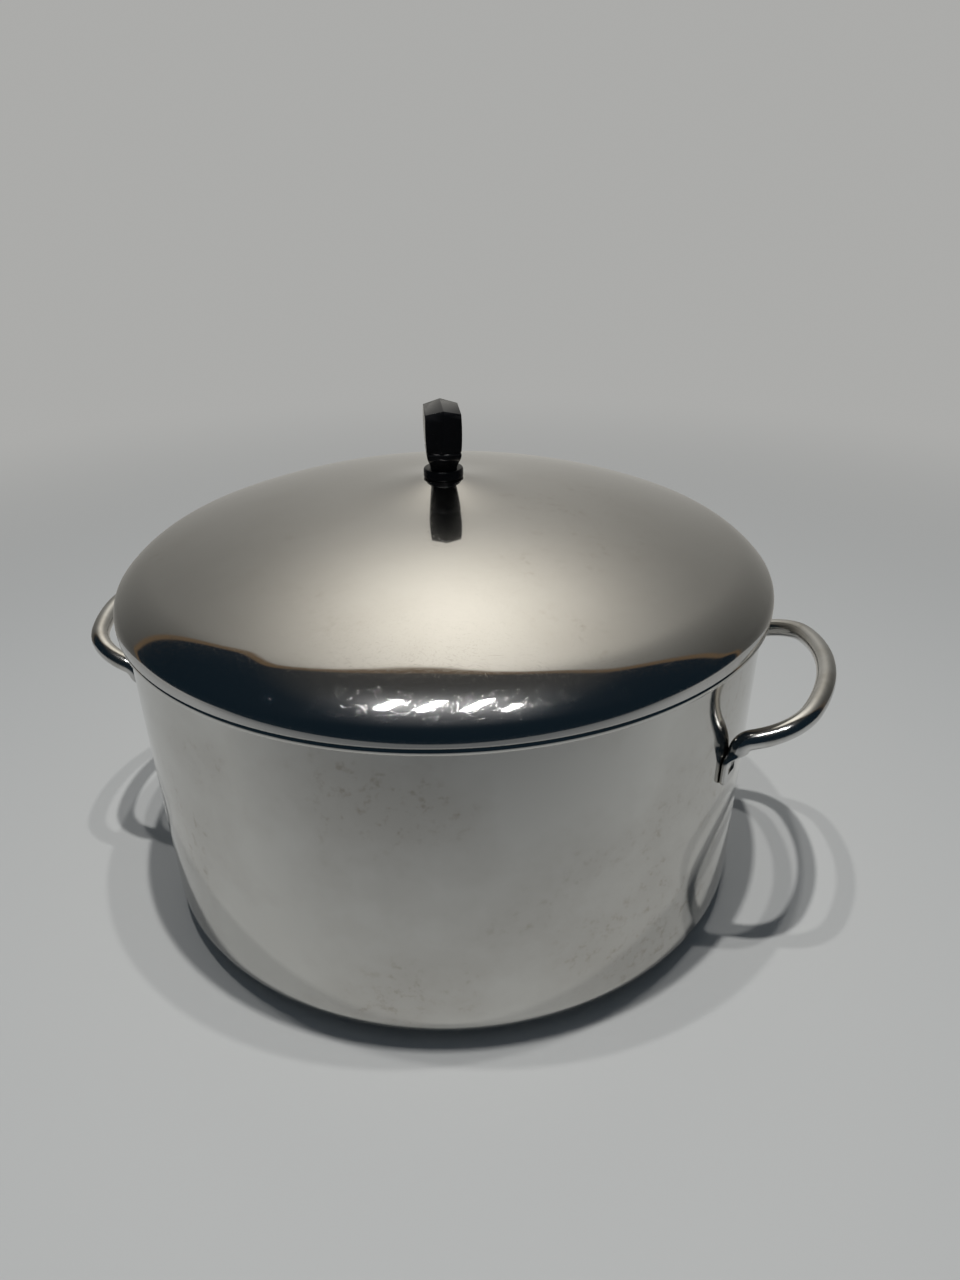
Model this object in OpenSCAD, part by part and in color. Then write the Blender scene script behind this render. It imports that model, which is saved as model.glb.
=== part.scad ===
// Round stainless steel kettle with two welded loop handles and a domed lift-off lid.
// Millimetres, +Z up. The origin is the middle of the underside of the base plate.
// The handles lie along X. The lid is shown seated.

/* [Kettle] */
// Outside diameter over the rolled rim
rim_d = 274; // [220:1:340]
// Height from the table to the top of the rolled rim
kettle_h = 140.3; // [110:0.1:200]
// Thickness of the steel sheet of the wall and floor
sheet_t = 0.8; // [0.6:0.1:1.2]
// Outside diameter of the rolled rim's tube
bead_d = 3.8; // [3:0.1:5]
// Slope of the wall away from upright, in degrees
wall_draft = 1.2; // [0:0.1:3]
// Outside radius where the wall turns into the floor
corner_r = 11.6; // [6:0.2:20]

/* [Base plate] */
// Thickness of the aluminium plate bonded under the floor
base_t = 2; // [1:0.5:6]
// Step from the start of the corner bend in to the plate's edge
base_inset = 1; // [0:0.5:8]
// Radius round the plate's lower edge
base_edge_r = 0.8; // [0.4:0.1:0.9]

/* [Handles] */
// Diameter of the bent rod
rod_d = 7.8; // [5:0.1:10]
// Distance between the middles of a handle's two legs
handle_span = 95; // [80:1:116]
// Drop from the rim's top to where each leg turns down, at the middle of the rod
handle_drop = 37.7; // [30:0.1:60]
// Straight length of each leg between its two bends
leg_l = 1.6; // [0.5:0.1:15]
// Upward tilt of the loop, in degrees
handle_tilt = 18.5; // [5:0.5:30]
// Bend radius of the bowed end, at the middle of the rod
bow_r = 83; // [60:1:140]
// Bend radius of the loop's two corners, at the middle of the rod
loop_corner_r = 23.5; // [16:0.5:28]
// Bend radius where each leg turns down along the wall
ankle_r = 6; // [5:0.5:9]
// Thickness of each leg's flattened end
tab_t = 2.2; // [1.6:0.1:3]
// Width of each flattened end
tab_w = 12.5; // [10:0.5:18]
// Height of each flattened end
tab_h = 11; // [10:0.5:24]
// Radius of a flattened end's two lower corners
tab_corner_r = 2.5; // [1:0.5:4.5]
// Height over which the round rod is pressed flat
press_h = 3.5; // [3:0.5:10]
// Side of the square mark that the spot weld leaves in a flattened end
weld_mark = 6; // [3:0.5:8]
// Depth of that mark
weld_mark_depth = 0.8; // [0.3:0.1:1.2]
// Distance from the top of a flattened end down to that mark
weld_mark_drop = 0.8; // [0.3:0.1:3]

/* [Lid] */
// Thickness of the lid's steel sheet
lid_t = 0.7; // [0.5:0.1:1]
// Height of the upright lip at the lid's edge
lip_h = 1.9; // [1.6:0.1:4]
// Reach of that lip below the top of the rolled rim
lip_lap = 0.2; // [0:0.1:0.6]
// Gap between the lip's lower edge and the rolled rim
lip_gap = 0.3; // [0.2:0.05:0.6]
// Radius of the tight bend above the lip
shoulder_r = 8.2; // [5:0.2:14]
// Sweep of the tight bend, in degrees
shoulder_sweep = 41.5; // [20:0.5:50]
// Radius of the easier bend that follows
haunch_r = 39.8; // [20:0.2:60]
// Slope of the dome where that bend ends, in degrees
haunch_slope = 22.4; // [20:0.1:35]
// Distance from the axis where the dome turns up towards the knob
flare_start_r = 40; // [25:1:50]
// Slope of the dome there, in degrees
crown_slope = 6; // [3:0.5:9]
// Slope of the dome just outside the flat seat of the knob, in degrees
flare_slope = 14; // [11:0.5:20]
// Radius of the bend between that slope and the seat
seat_bend_r = 2; // [1:0.5:4]
// Width of the flat seat outside the knob's foot
seat_rim = 0.8; // [0.4:0.1:3]
// Depth of the ring inside the lid that drops into the kettle
skirt_h = 12; // [6:0.5:20]
// Gap all round between that ring and the wall at the rim
skirt_gap = 2; // [1:0.1:3]
// Gap between the lid's ledge and the rolled rim
rest_gap = 0.3; // [0.1:0.05:0.5]

/* [Knob] */
// Diameter of the knob's round foot
foot_d = 16.4; // [14:0.2:22]
// Height of the round foot
foot_h = 4.1; // [3:0.1:6]
// Radius round the foot's edges
foot_edge_r = 0.8; // [0.3:0.1:1.2]
// Wall of the neck round the brass bush, at its thinnest
neck_wall = 1.3; // [1:0.1:2.5]
// Thickness of the head at its lower end
head_low_t = 14; // [12:0.2:18]
// Thickness of the head at the top edges of its faces
head_top_t = 14.2; // [12:0.2:18]
// Swell of each face of the head between those two
head_swell = 0.3; // [0:0.1:0.8]
// Length of the head at its lower end
head_low_l = 20; // [16:0.5:30]
// Length of the head at its top
head_top_l = 22; // [16:0.5:34]
// Height where the head begins, above the foot
neck_h = 8; // [5:0.5:11]
// Height of the head's faces
face_h = 15.8; // [10:0.1:24]
// Rise of the roof-shaped top above those faces
roof_h = 1.8; // [0.5:0.1:4]
// Angle of each half of the head's pointed ends, in degrees
end_rake = 12; // [0:1:25]
// Turn of the knob's long way from the Y axis, in degrees
knob_turn = 20; // [-90:1:90]

/* [Knob fastening] */
// Diameter of the screw's shank
screw_d = 5; // [4:0.5:6]
// Reach of the shank into the knob
screw_bite = 9; // [6:0.5:10]
// Reach of the screw's head past its shank
head_reach = 2.2; // [1.5:0.1:2.5]
// Height of the screw's head
head_h = 3.1; // [2:0.1:4]
// Width of the screwdriver slot
slot_w = 1.3; // [0.8:0.1:1.6]
// Depth of the screwdriver slot
slot_depth = 1.5; // [0.8:0.1:1.8]
// Wall of the brass bush moulded into the knob
bush_wall = 1.4; // [0.8:0.1:1.6]
// Height of that bush
bush_h = 10; // [7:0.5:11]
// Reach of the washer past the screw's head
washer_reach = 1.8; // [0.8:0.1:2.5]
// Thickness of the washer
washer_t = 1; // [0.6:0.1:1.6]
// Gap round the screw in the washer and the lid
screw_gap = 0.2; // [0.1:0.05:0.5]
// Gap round the screw in the bush, and round the bush in the knob
thread_gap = 0.05; // [0.02:0.01:0.1]
// Gap above the screw's tip and the bush in the knob
tip_gap = 0.5; // [0.3:0.1:1]

/* [Hidden] */
$fn = 96;
bow_steps = 3;
bend_steps = 6;
ring_points = 24;
tab_power = 0.3;
corner_steps = 10;
dome_steps = 14;
curve_steps = 8;
past = 1;
weld_gap = 0.05;

// The rolled rim and the wall below it
curl_gap = 0.5;
bead_x = (rim_d - bead_d) / 2;
bead_z = kettle_h - bead_d / 2;
wall_top_r = rim_d / 2 - bead_d + sheet_t;
corner_x = wall_top_r - corner_r / cos(wall_draft) - (bead_z - base_t - corner_r) * tan(wall_draft);

// The handles. Places are those of the middle of the rod.
bow_sweep = asin((handle_span / 2 - loop_corner_r) / (bow_r - loop_corner_r));
ankle_z = kettle_h - handle_drop;
ankle_x = leg_x(ankle_z);
ankle_sweep = 90 - handle_tilt;
ankle_l = ankle_r * tan(ankle_sweep / 2);
loop_l = bow_r * (1 - cos(bow_sweep)) + loop_corner_r * cos(bow_sweep) + leg_l + ankle_l;
press_z = ankle_z - ankle_l;
tab_z = press_z - press_h;
tab_turn = asin(handle_span / 2 / leg_r(tab_z));

// The knob and what holds it
head_start = foot_h + neck_h;
eaves_h = head_start + face_h;
knob_h = eaves_h + roof_h;
bore_d = screw_d + 2 * thread_gap;
bush_d = bore_d + 2 * bush_wall;
pocket_d = bush_d + 2 * thread_gap;
pocket_h = max(bush_h, screw_bite) + tip_gap;
neck_w = pocket_d + 2 * neck_wall;
head_d = screw_d + 2 * head_reach;
washer_d = head_d + 2 * washer_reach;

// The lid. Its outer face is a path of points [x, z, heading] from the lip to the axis.
lip_z = kettle_h - lip_lap;
lid_r = bead_x + sqrt(pow(bead_d / 2 + lip_gap, 2) - pow(lip_z - bead_z, 2)) + lid_t;
ledge_z = kettle_h + rest_gap;
ledge_r = lid_r - lid_t - weld_gap;
skirt_r = wall_top_r - sheet_t - skirt_gap;
seat_r = foot_d / 2 + seat_rim;
lip = [[lid_r, lip_z, 90], [lid_r, lip_z + lip_h, 90]];
shoulder = bend(last(lip), shoulder_r, shoulder_sweep, bend_steps);
haunch = bend(last(shoulder), haunch_r, 90 - shoulder_sweep - haunch_slope, bend_steps);
dome_r = (last(haunch)[0] - flare_start_r) / (sin(haunch_slope) - sin(crown_slope));
dome = bend(last(haunch), dome_r, haunch_slope - crown_slope, dome_steps);
flare_end = seat_r + seat_bend_r * sin(flare_slope);
flare_r = (flare_start_r - flare_end) / (sin(flare_slope) - sin(crown_slope));
flare = bend(last(dome), -flare_r, crown_slope - flare_slope, bend_steps);
seat_bend = bend(last(flare), seat_bend_r, flare_slope, bend_steps);
seat_z = last(seat_bend)[1];
lid_path = concat(lip, shoulder, haunch, dome, flare, seat_bend, [[0, seat_z, 180]]);
washer_z = seat_z - lid_t - washer_t;

// Outside radius of the kettle's wall at height z
function wall_r(z) = wall_top_r - (bead_z - z) * tan(wall_draft);
// Distance from the axis, and from the YZ plane, of an upright rod that lies against the wall
function leg_r(z) = wall_r(z) + weld_gap + rod_d / 2;
function leg_x(z) = sqrt(pow(leg_r(z), 2) - pow(handle_span / 2, 2));

function last(list) = list[len(list) - 1];
// Points [x, z, heading] round a bend that goes on from point s. A negative radius turns right.
function bend(s, r, sweep, steps) = [
    for (i = [1:steps])
        let (heading = s[2] + sweep * i / steps)
        [s[0] + r * (sin(heading) - sin(s[2])), s[1] + r * (cos(s[2]) - cos(heading)), heading]
];
// The edge of a sheet of thickness t, which lies to the left of the path
module sheet(path, t) {
    left = [for (i = [len(path) - 1:-1:0])
        [path[i][0] - t * sin(path[i][2]), path[i][1] + t * cos(path[i][2])]];
    polygon(concat([for (p = path) [p[0], p[1]]], left));
}

// Kettle

module rolled_rim() {
    translate([bead_x, bead_z]) {
        difference() {
            circle(d = bead_d);
            circle(d = bead_d - 2 * sheet_t);
            translate([wall_top_r - bead_x, -bead_d]) square([curl_gap, bead_d]);
        }
    }
}

module kettle_shell() {
    corner = bend([corner_x, base_t, 0], corner_r, 90 - wall_draft, corner_steps);
    path = concat([[0, base_t, 0], [corner_x, base_t, 0]], corner, [[wall_top_r, bead_z, 90 - wall_draft]]);
    color("silver") {
        rotate_extrude() {
            sheet(path, sheet_t);
            rolled_rim();
        }
    }
}

module base_plate() {
    base_r = corner_x - base_inset;
    color("gainsboro") {
        rotate_extrude() {
            square([base_r - base_edge_r, base_t]);
            translate([0, base_edge_r]) square([base_r, base_t - base_edge_r]);
            translate([base_r - base_edge_r, base_edge_r]) circle(r = base_edge_r);
        }
    }
}

// Handles. Each is one rod, swept through a row of sections from flattened end to flattened end.
// A section is a ring of points round its centre, a from it along u and b along v.
// A round section has power 1, and a lower power squares its corners.

function curved(x, power) = sign(x) * pow(abs(x), power);
function section(centre, u, v, a, b, power) = [
    for (i = [0:ring_points - 1])
        let (angle = 360 * i / ring_points)
        centre + a * curved(cos(angle), power) * u + b * curved(sin(angle), power) * v
];
function round_section(centre, u, v) = section(centre, u, v, rod_d / 2, rod_d / 2, 1);

// The loop, from the middle of its bowed end to the end of a leg, in its own tilted plane
function loop_sections() =
    let (
        bow = bend([loop_l, 0, 90], bow_r, bow_sweep, bow_steps),
        corner = bend(last(bow), loop_corner_r, 90 - bow_sweep, bend_steps),
        outwards = [cos(handle_tilt), 0, sin(handle_tilt)],
        upwards = [-sin(handle_tilt), 0, cos(handle_tilt)]
    )
    [
        for (p = concat([[loop_l, 0, 90]], bow, corner))
            let (centre = [ankle_x, 0, ankle_z] + p[0] * outwards + p[1] * [0, 1, 0])
            round_section(centre, sin(p[2]) * outwards - cos(p[2]) * [0, 1, 0], upwards)
    ];

// The bend at the end of a leg, down along the wall
function ankle_sections() =
    let (
        start_x = ankle_x + ankle_l * cos(handle_tilt),
        start_z = ankle_z + ankle_l * sin(handle_tilt),
        start = [start_x, start_z, 180 + handle_tilt]
    )
    [
        for (p = concat([start], bend(start, ankle_r, ankle_sweep, bend_steps)))
            round_section([p[0], handle_span / 2, p[1]], [0, 1, 0], [sin(p[2]), 0, -cos(p[2])])
    ];

// The flattened end, which leans with the wall. Its lower corners are round.
function tab_sections() =
    let (
        along = [-sin(tab_turn), cos(tab_turn), 0],
        out = [cos(tab_turn), sin(tab_turn), 0],
        straight_h = tab_h - tab_corner_r
    )
    [
        for (angle = [-1:corner_steps / 2])
            let (
                turn = 180 * max(angle, 0) / corner_steps,
                depth = angle < 0 ? 0 : straight_h + tab_corner_r * sin(turn),
                half_w = tab_w / 2 - tab_corner_r * (1 - cos(turn)),
                centre_r = wall_r(tab_z - depth) + weld_gap + tab_t / 2
            )
            section(centre_r * out + [0, 0, tab_z - depth], along, -out, half_w, tab_t / 2, tab_power)
    ];

module swept(sections) {
    n = ring_points;
    rows = len(sections);
    sides = [
        for (row = [0:rows - 2], i = [0:n - 1])
            [row * n + i, row * n + (i + 1) % n, (row + 1) * n + (i + 1) % n, (row + 1) * n + i]
    ];
    ends = [[for (i = [n - 1:-1:0]) i], [for (i = [0:n - 1]) (rows - 1) * n + i]];
    polyhedron([for (ring = sections) each ring], concat(sides, ends));
}

module weld_mark() {
    face_r = wall_r(tab_z) + weld_gap + tab_t;
    rotate(tab_turn) {
        translate([face_r - weld_mark_depth, -weld_mark / 2, tab_z - weld_mark_drop - weld_mark])
            cube([weld_mark_depth + past, weld_mark, weld_mark]);
    }
}

module handle() {
    half = concat(loop_sections(), ankle_sections(), tab_sections());
    mirrored = [for (i = [len(half) - 1:-1:1]) [for (p = half[i]) [p[0], -p[1], p[2]]]];
    difference() {
        swept(concat(mirrored, half));
        for (side = [0, 1]) mirror([0, side, 0]) weld_mark();
    }
}

module handle_right() {
    color("lightsteelblue") handle();
}

module handle_left() {
    color("lightsteelblue") rotate(180) handle();
}

// Lid

module lid_shell() {
    color("lightgray") {
        difference() {
            rotate_extrude() sheet(lid_path, lid_t);
            translate([0, 0, seat_z - lid_t - past])
                cylinder(r = screw_d / 2 + screw_gap, h = lid_t + 2 * past);
        }
    }
}

// The ring inside the lid: a ledge that rests on the rim, and a skirt that drops inside the kettle
module lid_ring() {
    color("darkgray") {
        rotate_extrude() {
            translate([skirt_r - lid_t, ledge_z]) square([ledge_r - skirt_r + lid_t, lid_t]);
            translate([skirt_r - lid_t, ledge_z + lid_t - skirt_h]) square([lid_t, skirt_h]);
        }
    }
}

// Knob

// Points from p to q that leave both upright
function s_curve(p, q) = [
    for (i = [0:curve_steps])
        let (t = i / curve_steps)
        [p[0] + (q[0] - p[0]) * (1 - cos(180 * t)) / 2, p[1] + (q[1] - p[1]) * t]
];
// Points from p to q along a shallow curve that swells outwards by s
function swollen(p, q, s) = [
    for (i = [1:curve_steps])
        let (t = i / curve_steps)
        p + (q - p) * t + [4 * s * t * (1 - t), 0]
];
function both_sides(half) = concat(half, [for (i = [len(half) - 1:-1:0]) [-half[i][0], half[i][1]]]);

neck_foot = [neck_w / 2, foot_h / 2];
neck_start = [neck_w / 2, foot_h];
face_low = [head_low_t / 2, head_start];
face_top = [head_top_t / 2, eaves_h];
end_low = [head_low_l / 2, head_start];
end_top = [head_top_l / 2, knob_h];

// The knob's outline with its faces at the left and right
module face_outline() {
    half = concat([neck_foot], s_curve(neck_start, face_low), swollen(face_low, face_top, head_swell));
    polygon(both_sides(concat(half, [[0, knob_h]])));
}

// The knob's outline with its ends at the left and right
module end_outline() {
    polygon(both_sides(concat([neck_foot], s_curve(neck_start, end_low), [end_top])));
}

module upright(width) {
    rotate([90, 0, 0]) linear_extrude(width, center = true) children();
}

module knob_foot() {
    rotate_extrude() {
        square([foot_d / 2 - foot_edge_r, foot_h]);
        translate([0, foot_edge_r]) square([foot_d / 2, foot_h - 2 * foot_edge_r]);
        for (z = [foot_edge_r, foot_h - foot_edge_r]) {
            translate([foot_d / 2 - foot_edge_r, z]) circle(r = foot_edge_r);
        }
    }
}

module knob() {
    color("#151515") {
        translate([0, 0, seat_z]) rotate(knob_turn) {
            difference() {
                union() {
                    knob_foot();
                    intersection() {
                        upright(2 * head_top_l) face_outline();
                        rotate(90 - end_rake) upright(2 * head_top_l) end_outline();
                        rotate(90 + end_rake) upright(2 * head_top_l) end_outline();
                    }
                }
                translate([0, 0, -past]) cylinder(d = pocket_d, h = pocket_h + past);
            }
        }
    }
}

// Knob fastening

module knob_bush() {
    color("goldenrod") {
        translate([0, 0, seat_z]) {
            difference() {
                cylinder(d = bush_d, h = bush_h);
                translate([0, 0, -past]) cylinder(d = bore_d, h = bush_h + 2 * past);
            }
        }
    }
}

module knob_washer() {
    color("silver") {
        translate([0, 0, washer_z]) {
            difference() {
                cylinder(d = washer_d, h = washer_t);
                translate([0, 0, -past]) cylinder(r = screw_d / 2 + screw_gap, h = washer_t + 2 * past);
            }
        }
    }
}

module knob_screw() {
    color("darkgray") {
        difference() {
            union() {
                translate([0, 0, washer_z]) cylinder(d = screw_d, h = seat_z - washer_z + screw_bite);
                translate([0, 0, washer_z - head_h / 2]) cylinder(d = head_d, h = head_h / 2);
                translate([0, 0, washer_z - head_h])
                    cylinder(d1 = head_d - head_h, d2 = head_d, h = head_h / 2);
            }
            translate([-head_d / 2 - past, -slot_w / 2, washer_z - head_h - past])
                cube([head_d + 2 * past, slot_w, slot_depth + past]);
        }
    }
}

kettle_shell();
base_plate();
handle_left();
handle_right();
lid_shell();
lid_ring();
knob();
knob_bush();
knob_screw();
knob_washer();
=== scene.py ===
import math

import bmesh
import bpy
from mathutils import Matrix, Vector


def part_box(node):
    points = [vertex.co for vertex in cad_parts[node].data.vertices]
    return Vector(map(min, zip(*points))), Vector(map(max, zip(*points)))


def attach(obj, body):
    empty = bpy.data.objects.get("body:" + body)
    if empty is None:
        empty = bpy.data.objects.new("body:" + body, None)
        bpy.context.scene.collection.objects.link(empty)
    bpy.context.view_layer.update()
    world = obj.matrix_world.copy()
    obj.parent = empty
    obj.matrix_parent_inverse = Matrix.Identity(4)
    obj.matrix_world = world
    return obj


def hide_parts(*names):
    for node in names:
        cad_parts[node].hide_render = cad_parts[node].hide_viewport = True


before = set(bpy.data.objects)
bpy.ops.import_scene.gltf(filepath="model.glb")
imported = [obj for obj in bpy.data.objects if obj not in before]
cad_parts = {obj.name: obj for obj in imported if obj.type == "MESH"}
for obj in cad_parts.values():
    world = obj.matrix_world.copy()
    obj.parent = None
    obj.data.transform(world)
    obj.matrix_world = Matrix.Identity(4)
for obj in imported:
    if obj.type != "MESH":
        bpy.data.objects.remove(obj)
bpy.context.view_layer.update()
scene = bpy.context.scene
scene.view_settings.view_transform = "Standard"


# Camera. A wide lens at arm's length, above the worktop, looks down on the lid. The kettle is turned
# a little, so that its right handle shows in full and its left one looks out from behind the wall.
CAMERA_PLACE = Vector((0.1102, -0.3693, 0.3059))
CAMERA_YAW = -0.2531
CAMERA_PITCH = -0.4765
CAMERA_ROLL = -0.0125
FOCAL_LENGTH_PX = 961
FRAME_HEIGHT_PX = 1280
SENSOR = 36

camera = bpy.data.objects.new("camera", bpy.data.cameras.new("camera"))
scene.collection.objects.link(camera)
scene.camera = camera
camera.data.sensor_width = SENSOR
camera.data.lens = SENSOR * FOCAL_LENGTH_PX / FRAME_HEIGHT_PX
camera.data.clip_start = 0.01
level = Matrix.Rotation(math.radians(90), 4, "X")
turn = Matrix.Rotation(-CAMERA_YAW, 4, "Z") @ Matrix.Rotation(CAMERA_PITCH, 4, "X")
roll = Matrix.Rotation(CAMERA_ROLL, 4, "Z")
camera.matrix_world = Matrix.Translation(CAMERA_PLACE) @ turn @ level @ roll


# Floor. A plain pale worktop, far wider than the kettle. Away from the kettle it takes the plain tone
# of the backdrop, so that no horizon shows. In the steel it ends as a worktop does, and painted shade
# fades it to the front, standing in for the lamps reaching less there; the floor itself is not dimmed.
FLOOR_SIZE = 12
FLOOR_COLOUR = (0.52, 0.52, 0.505, 1)
FLOOR_NEAR = 0.32
FLOOR_FAR = 0.95
COUNTER_FRONT = -0.36
COUNTER_BACK = 0.17
COUNTER_END = 0.9
COUNTER_EDGE = 0.03
DIM_START = -0.13
DIM_END = -0.34
DIM_AMOUNT = 0.58
BACKDROP = (0.41, 0.41, 0.40, 1)

to_wall = Matrix.Rotation(-CAMERA_YAW, 3, "Z") @ Vector((0, 1, 0))


def deselect():
    bpy.ops.object.select_all(action="DESELECT")


def node(tree, kind, *inputs, **settings):
    """Adds a shader node. Its inputs in turn get a value, a node's first output or a socket."""
    made = tree.nodes.new("ShaderNode" + kind)
    for name, value in settings.items():
        setattr(made, name, value)
    for socket, value in zip(made.inputs, inputs):
        if isinstance(value, bpy.types.Node):
            value = value.outputs[0]
        if isinstance(value, bpy.types.NodeSocket):
            tree.links.new(value, socket)
        elif value is not None:
            socket.default_value = value
    return made


def new_material(name, **sockets):
    """A material, its node tree and its shader, with the shader's own sockets set."""
    material = bpy.data.materials.new(name)
    material.use_nodes = True
    tree = material.node_tree
    shader = tree.nodes["Principled BSDF"]
    for socket, value in sockets.items():
        shader.inputs[socket.replace("_", " ")].default_value = value
    return material, tree, shader


deselect()
bpy.ops.mesh.primitive_plane_add(size=FLOOR_SIZE)
floor = bpy.context.object
floor.name = "floor"
floor_stone, tree, shader = new_material("pale_worktop", Base_Color=FLOOR_COLOUR, Roughness=0.5)
place = node(tree, "TexCoord").outputs["Object"]
reach = node(tree, "VectorMath", place, operation="LENGTH").outputs["Value"]
is_far = node(tree, "MapRange", reach, FLOOR_NEAR, FLOOR_FAR, 0, 1, interpolation_type="SMOOTHSTEP")
backdrop_glow = node(tree, "Emission", BACKDROP, 1.0)
pale_floor = node(tree, "MixShader", is_far, shader, backdrop_glow)
depth = node(tree, "VectorMath", place, to_wall, operation="DOT_PRODUCT").outputs["Value"]
past_front = node(tree, "MapRange", depth, COUNTER_FRONT, COUNTER_FRONT - COUNTER_EDGE, 0, 1)
past_back = node(tree, "MapRange", depth, COUNTER_BACK, COUNTER_BACK + COUNTER_EDGE, 0, 1)
past_end = node(tree, "MapRange", reach, COUNTER_END, COUNTER_END + 0.05, 0, 1)
# Painted shade: only in the steel, the worktop fades towards the dark room the further it lies to the
# front.
painted_mirror_shade = node(tree, "MapRange", depth, DIM_START, DIM_END, 0, DIM_AMOUNT)
gone = node(tree, "Math", past_front, past_back, operation="MAXIMUM")
gone = node(tree, "Math", gone, past_end, operation="MAXIMUM")
gone = node(tree, "Math", gone, painted_mirror_shade, operation="MAXIMUM")
in_mirror = node(tree, "LightPath").outputs["Is Glossy Ray"]
gone_in_mirror = node(tree, "Math", gone, in_mirror, operation="MULTIPLY")
floor_look = node(tree, "MixShader", gone_in_mirror, pale_floor, node(tree, "BsdfTransparent"))
tree.links.new(floor_look.outputs[0], tree.nodes["Material Output"].inputs["Surface"])
floor.data.materials.append(floor_stone)


# Light. A row of small lamps hangs over the kettle, and four long ones a little before it. Polished
# steel shows what stands round it: a lit wall behind it, brightest high up, and a dim room in front.
WALL_TOPS = ((0.0, 0.956, -0.293), (0.30, 0.92, -0.27))
WALL_LEFT = (0.40, 0.89, -0.21)
WALL_RIGHT = (-0.29, 0.955, 0.08)
WALL_CORNER = 0.5
CORNER_SOFTNESS = 0.05
END_SOFTNESS = 0.10
WALL_COLOUR = (0.43, 0.42, 0.39, 1)
WALL_END_COLOUR = (0.09, 0.09, 0.085, 1)
WALL_GLOW = (1.05, 0.99, 0.87, 1)
GLOW_HEIGHT = math.radians(61)
EDGE_COLOUR = (0.16, 0.11, 0.065, 1)
ROOM_TOP_COLOUR = (0.055, 0.055, 0.052, 1)
ROOM_COLOUR = (0.008, 0.016, 0.024, 1)
EVEN_LIGHT = (0.055, 0.075, 0.10, 1)
ROW_LAMPS = ((-0.157, -0.147, 3.8), (0.055, -0.173, 10.4), (0.19, -0.058, 3.8))
ROW_HEIGHT = 1.5
ROW_SIZE = 0.03
LONG_LAMPS = ((-0.155, -0.597, -20, 0.24), (0.059, -0.561, -14, 0.24), (0.296, -0.508, -8, 0.26),
              (0.522, -0.534, -4, 0.12))
LONG_HEIGHT = 1.3
LONG_WIDTH = 0.032
LONG_POWER = 8.0

across = Vector((to_wall.y, -to_wall.x, 0))
upright = Vector((0, 0, 1))
glow_middle = to_wall * math.cos(GLOW_HEIGHT) + upright * math.sin(GLOW_HEIGHT)

world = bpy.data.worlds.new("studio")
world.use_nodes = True
scene.world = world
sky = world.node_tree
sky.nodes.clear()
direction = node(sky, "TexCoord").outputs["Generated"]
height = node(sky, "SeparateXYZ", direction).outputs["Z"]
to_side = node(sky, "VectorMath", direction, across, operation="DOT_PRODUCT").outputs["Value"]
far_side = node(sky, "MapRange", node(sky, "Math", to_side, operation="ABSOLUTE"), 0.05, 0.9, 0, 1)
wall = node(sky, "MixRGB", far_side, WALL_COLOUR, WALL_END_COLOUR)
near_glow = node(sky, "VectorMath", direction, glow_middle, operation="DOT_PRODUCT").outputs["Value"]
glow = node(sky, "Math", node(sky, "Math", near_glow, 0.0, operation="MAXIMUM"), 15.0, operation="POWER")
lit_wall = node(sky, "MixRGB", glow, wall, WALL_GLOW, blend_type="ADD")
past_edges = []
for sideways, wallwards, upwards in (*WALL_TOPS, WALL_LEFT, WALL_RIGHT):
    edge = across * sideways + to_wall * wallwards + upright * upwards
    past_edges.append(node(sky, "VectorMath", direction, edge, operation="DOT_PRODUCT").outputs["Value"])
past_top = node(sky, "Math", past_edges[0], past_edges[1], CORNER_SOFTNESS, operation="SMOOTH_MAX")
past_corner = node(sky, "Math", to_side, WALL_CORNER)
past_left = node(sky, "Math", past_edges[2], past_corner, CORNER_SOFTNESS, operation="SMOOTH_MAX")
past_ends = node(sky, "Math", past_left, past_edges[3], operation="MINIMUM")
past_edge = node(sky, "Math", past_top, past_ends, END_SOFTNESS, operation="SMOOTH_MIN")
is_top = node(sky, "MapRange", height, 0.75, 1.0, 0, 1, interpolation_type="SMOOTHSTEP")
room = node(sky, "MixRGB", is_top, ROOM_COLOUR, ROOM_TOP_COLOUR)
is_edge = node(sky, "MapRange", past_edge, -0.045, -0.03, 0, 1, interpolation_type="SMOOTHSTEP")
edged_room = node(sky, "MixRGB", is_edge, room, EDGE_COLOUR)
is_wall = node(sky, "MapRange", past_edge, -0.005, 0.015, 0, 1, interpolation_type="SMOOTHSTEP")
surroundings = node(sky, "MixRGB", is_wall, edged_room, lit_wall)
rays = node(sky, "LightPath")
is_glossy = rays.outputs["Is Glossy Ray"]
is_shiny = node(sky, "Math", is_glossy, rays.outputs["Is Transmission Ray"], operation="MAXIMUM")
seen = node(sky, "MixRGB", rays.outputs["Is Camera Ray"], EVEN_LIGHT, BACKDROP)
shown = node(sky, "MixRGB", is_shiny, seen, surroundings)
node(sky, "OutputWorld", node(sky, "Background", shown, 1.0))


def lamp(name, place, turn, width, length, power):
    """A soft lamp at a place, facing straight down and turned about the upright."""
    made = bpy.data.objects.new(name, bpy.data.lights.new(name, "AREA"))
    scene.collection.objects.link(made)
    made.data.shape = "RECTANGLE"
    made.data.size = width
    made.data.size_y = length
    made.data.energy = power
    made.location = place
    made.rotation_euler.z = math.radians(turn)
    return made


for number, (x, y, power) in enumerate(ROW_LAMPS):
    row_lamp = lamp(f"row_lamp_{number}", (x, y, ROW_HEIGHT), 0, ROW_SIZE, ROW_SIZE, power)
    row_lamp.visible_glossy = False
for number, (x, y, turn, length) in enumerate(LONG_LAMPS):
    place = (x, y, LONG_HEIGHT)
    long_lamp = lamp(f"long_lamp_{number}", place, turn, LONG_WIDTH, length, LONG_POWER * length)
    long_lamp.visible_diffuse = False


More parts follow.
